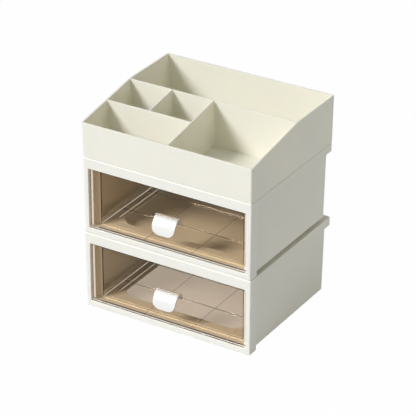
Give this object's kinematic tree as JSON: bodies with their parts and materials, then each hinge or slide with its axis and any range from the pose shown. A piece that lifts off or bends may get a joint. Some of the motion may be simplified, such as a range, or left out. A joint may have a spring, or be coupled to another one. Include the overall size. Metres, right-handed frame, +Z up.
{
  "type": "desktop drawer organizer",
  "caption": "Stackable desk organizer: see-through drawers that slide in cream housings, under an open divided tray.",
  "frame": {"origin": "on the table, under the middle of the whole object's box, pull tabs included", "axes": "+X to the user's right, -Y towards the user (the drawers slide out along -Y), +Z up"},
  "size_m": [0.2618, 0.222, 0.2944],
  "materials": {
    "cream_plastic": "satin moulded, warm off-white",
    "smoke_clear_plastic": "clear, tea-brown tint, polished",
    "white_plastic": "white, semi-gloss",
    "foot_rubber": "soft, pale grey"
  },
  "bodies": {
    "lower_unit": {"lower_front_frame": "cream_plastic", "lower_cabinet": "cream_plastic", "lower_top_cover": "cream_plastic", "lower_left_foot": "foot_rubber", "lower_right_foot": "foot_rubber"},
    "lower_tub": {"lower_drawer": "smoke_clear_plastic", "lower_pull_tab": "white_plastic"},
    "upper_unit": {"upper_front_frame": "cream_plastic", "upper_cabinet": "cream_plastic", "upper_top_cover": "cream_plastic", "upper_left_foot": "foot_rubber", "upper_right_foot": "foot_rubber"},
    "upper_tub": {"upper_drawer": "smoke_clear_plastic", "upper_pull_tab": "white_plastic"},
    "top_tray": {"tray": "cream_plastic"}
  },
  "joints": [
    {"name": "lower_drawer_slide", "type": "slide", "parent": "lower_unit", "child": "lower_tub", "axis": [0, -1, 0], "range_m": [0, 0.14]},
    {"name": "upper_drawer_slide", "type": "slide", "parent": "upper_unit", "child": "upper_tub", "axis": [0, -1, 0], "range_m": [0, 0.14]},
    {"name": "upper_unit_lift", "type": "slide", "parent": "lower_unit", "child": "upper_unit", "axis": [0, 0, 1], "range_m": [0, 0.05]},
    {"name": "tray_lift", "type": "slide", "parent": "upper_unit", "child": "top_tray", "axis": [0, 0, 1], "range_m": [0, 0.05]}
  ]
}
